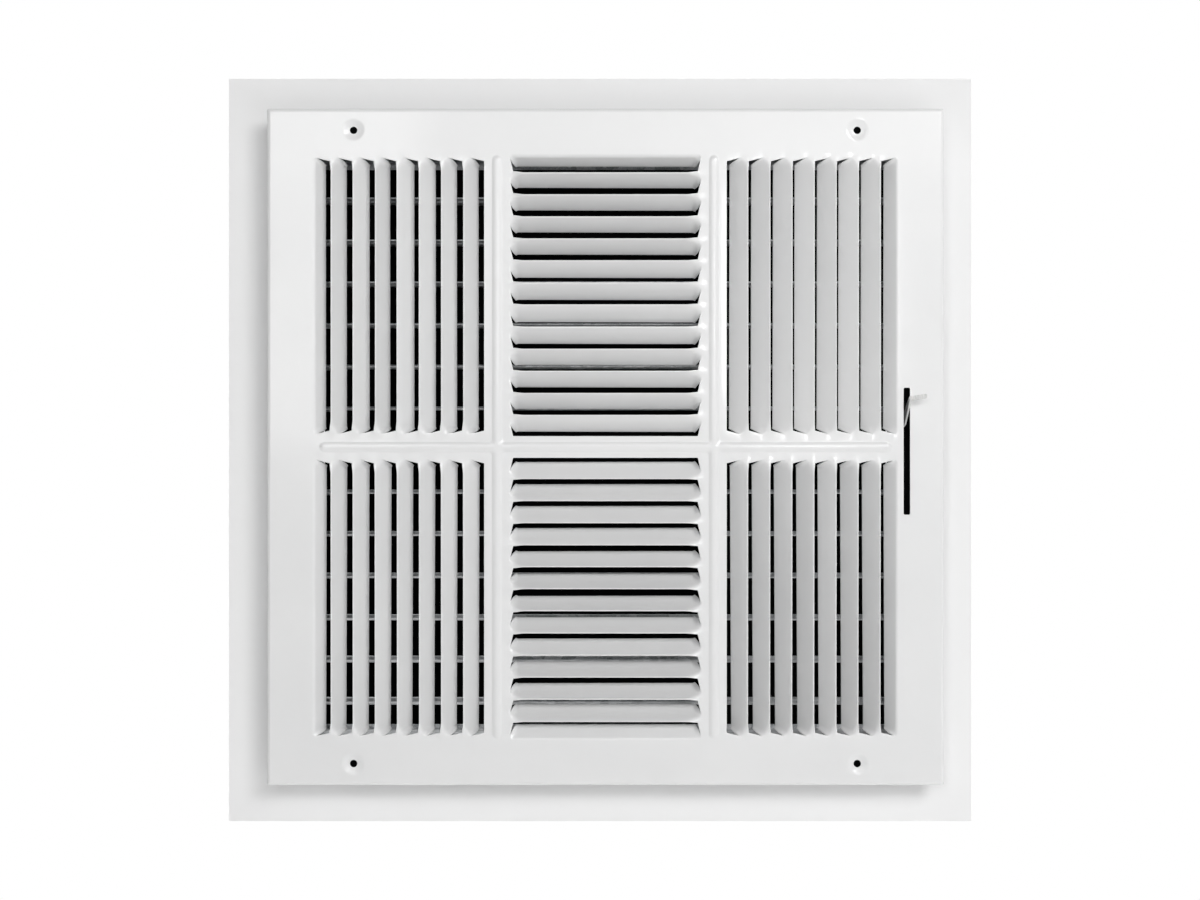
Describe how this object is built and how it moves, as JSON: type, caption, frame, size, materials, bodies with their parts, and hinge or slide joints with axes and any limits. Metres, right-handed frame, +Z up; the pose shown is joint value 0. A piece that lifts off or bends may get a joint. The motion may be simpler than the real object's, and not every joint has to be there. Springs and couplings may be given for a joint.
{
  "type": "sidewall register",
  "caption": "Square sidewall air register: stamped face with louvre banks that throw air to every side, over a damper of linked shutters opened and closed by a lever at the edge.",
  "frame": {"origin": "centre of the square face on the wall surface that the turned-back rim rests on", "axes": "+X right seen from the room, +Y back into the duct, +Z up; the louvres face -Y"},
  "size_m": [0.4, 0.0568, 0.4],
  "materials": {
    "white_coat": "white powder coat, satin with a fine orange-peel grain",
    "galvanised": "galvanised sheet, dull with a faint spangle",
    "bright_steel": "plated steel strip, satin"
  },
  "bodies": {
    "register": {"faceplate": "white_coat", "frame_top_wall": "galvanised", "frame_bottom_wall": "galvanised", "frame_left_wall": "galvanised", "frame_right_wall": "galvanised"},
    "shutter_01": {"shutter_01": "galvanised"},
    "shutter_02": {"shutter_02": "galvanised"},
    "shutter_03": {"shutter_03": "galvanised"},
    "shutter_04": {"shutter_04": "galvanised"},
    "shutter_05": {"shutter_05": "galvanised"},
    "shutter_06": {"shutter_06": "galvanised"},
    "drive_shutter": {"shutter_07": "galvanised", "damper_lever": "bright_steel"},
    "shutter_08": {"shutter_08": "galvanised"},
    "shutter_09": {"shutter_09": "galvanised"},
    "shutter_10": {"shutter_10": "galvanised"},
    "shutter_11": {"shutter_11": "galvanised"},
    "shutter_12": {"shutter_12": "galvanised"},
    "shutter_13": {"shutter_13": "galvanised"},
    "link_bar": {"link_bar": "galvanised"}
  },
  "joints": [
    {"name": "damper_drive", "type": "hinge", "parent": "register", "child": "drive_shutter", "pos_m": [0, 0.027, -0.0025], "axis": [1, 0, 0], "range_deg": [0, 84]},
    {"name": "shutter_01_pivot", "type": "hinge", "parent": "register", "child": "shutter_01", "pos_m": [0, 0.027, 0.1499], "axis": [1, 0, 0], "range_deg": [0, 84]},
    {"name": "shutter_02_pivot", "type": "hinge", "parent": "register", "child": "shutter_02", "pos_m": [0, 0.027, 0.1245], "axis": [1, 0, 0], "range_deg": [0, 84]},
    {"name": "shutter_03_pivot", "type": "hinge", "parent": "register", "child": "shutter_03", "pos_m": [0, 0.027, 0.0991], "axis": [1, 0, 0], "range_deg": [0, 84]},
    {"name": "shutter_04_pivot", "type": "hinge", "parent": "register", "child": "shutter_04", "pos_m": [0, 0.027, 0.0737], "axis": [1, 0, 0], "range_deg": [0, 84]},
    {"name": "shutter_05_pivot", "type": "hinge", "parent": "register", "child": "shutter_05", "pos_m": [0, 0.027, 0.0483], "axis": [1, 0, 0], "range_deg": [0, 84]},
    {"name": "shutter_06_pivot", "type": "hinge", "parent": "register", "child": "shutter_06", "pos_m": [0, 0.027, 0.0229], "axis": [1, 0, 0], "range_deg": [0, 84]},
    {"name": "shutter_08_pivot", "type": "hinge", "parent": "register", "child": "shutter_08", "pos_m": [0, 0.027, -0.0279], "axis": [1, 0, 0], "range_deg": [0, 84]},
    {"name": "shutter_09_pivot", "type": "hinge", "parent": "register", "child": "shutter_09", "pos_m": [0, 0.027, -0.0533], "axis": [1, 0, 0], "range_deg": [0, 84]},
    {"name": "shutter_10_pivot", "type": "hinge", "parent": "register", "child": "shutter_10", "pos_m": [0, 0.027, -0.0787], "axis": [1, 0, 0], "range_deg": [0, 84]},
    {"name": "shutter_11_pivot", "type": "hinge", "parent": "register", "child": "shutter_11", "pos_m": [0, 0.027, -0.1041], "axis": [1, 0, 0], "range_deg": [0, 84]},
    {"name": "shutter_12_pivot", "type": "hinge", "parent": "register", "child": "shutter_12", "pos_m": [0, 0.027, -0.1295], "axis": [1, 0, 0], "range_deg": [0, 84]},
    {"name": "shutter_13_pivot", "type": "hinge", "parent": "register", "child": "shutter_13", "pos_m": [0, 0.027, -0.1549], "axis": [1, 0, 0], "range_deg": [0, 84]},
    {"name": "link_pivot", "type": "hinge", "parent": "drive_shutter", "child": "link_bar", "pos_m": [0.064, 0.03846, -0.00651], "axis": [1, 0, 0], "range_deg": [-84, 0]}
  ],
  "couplings": [
    {"joint": "shutter_01_pivot", "follows": "damper_drive", "ratio": 1},
    {"joint": "shutter_02_pivot", "follows": "damper_drive", "ratio": 1},
    {"joint": "shutter_03_pivot", "follows": "damper_drive", "ratio": 1},
    {"joint": "shutter_04_pivot", "follows": "damper_drive", "ratio": 1},
    {"joint": "shutter_05_pivot", "follows": "damper_drive", "ratio": 1},
    {"joint": "shutter_06_pivot", "follows": "damper_drive", "ratio": 1},
    {"joint": "shutter_08_pivot", "follows": "damper_drive", "ratio": 1},
    {"joint": "shutter_09_pivot", "follows": "damper_drive", "ratio": 1},
    {"joint": "shutter_10_pivot", "follows": "damper_drive", "ratio": 1},
    {"joint": "shutter_11_pivot", "follows": "damper_drive", "ratio": 1},
    {"joint": "shutter_12_pivot", "follows": "damper_drive", "ratio": 1},
    {"joint": "shutter_13_pivot", "follows": "damper_drive", "ratio": 1},
    {"joint": "link_pivot", "follows": "damper_drive", "ratio": -1}
  ]
}
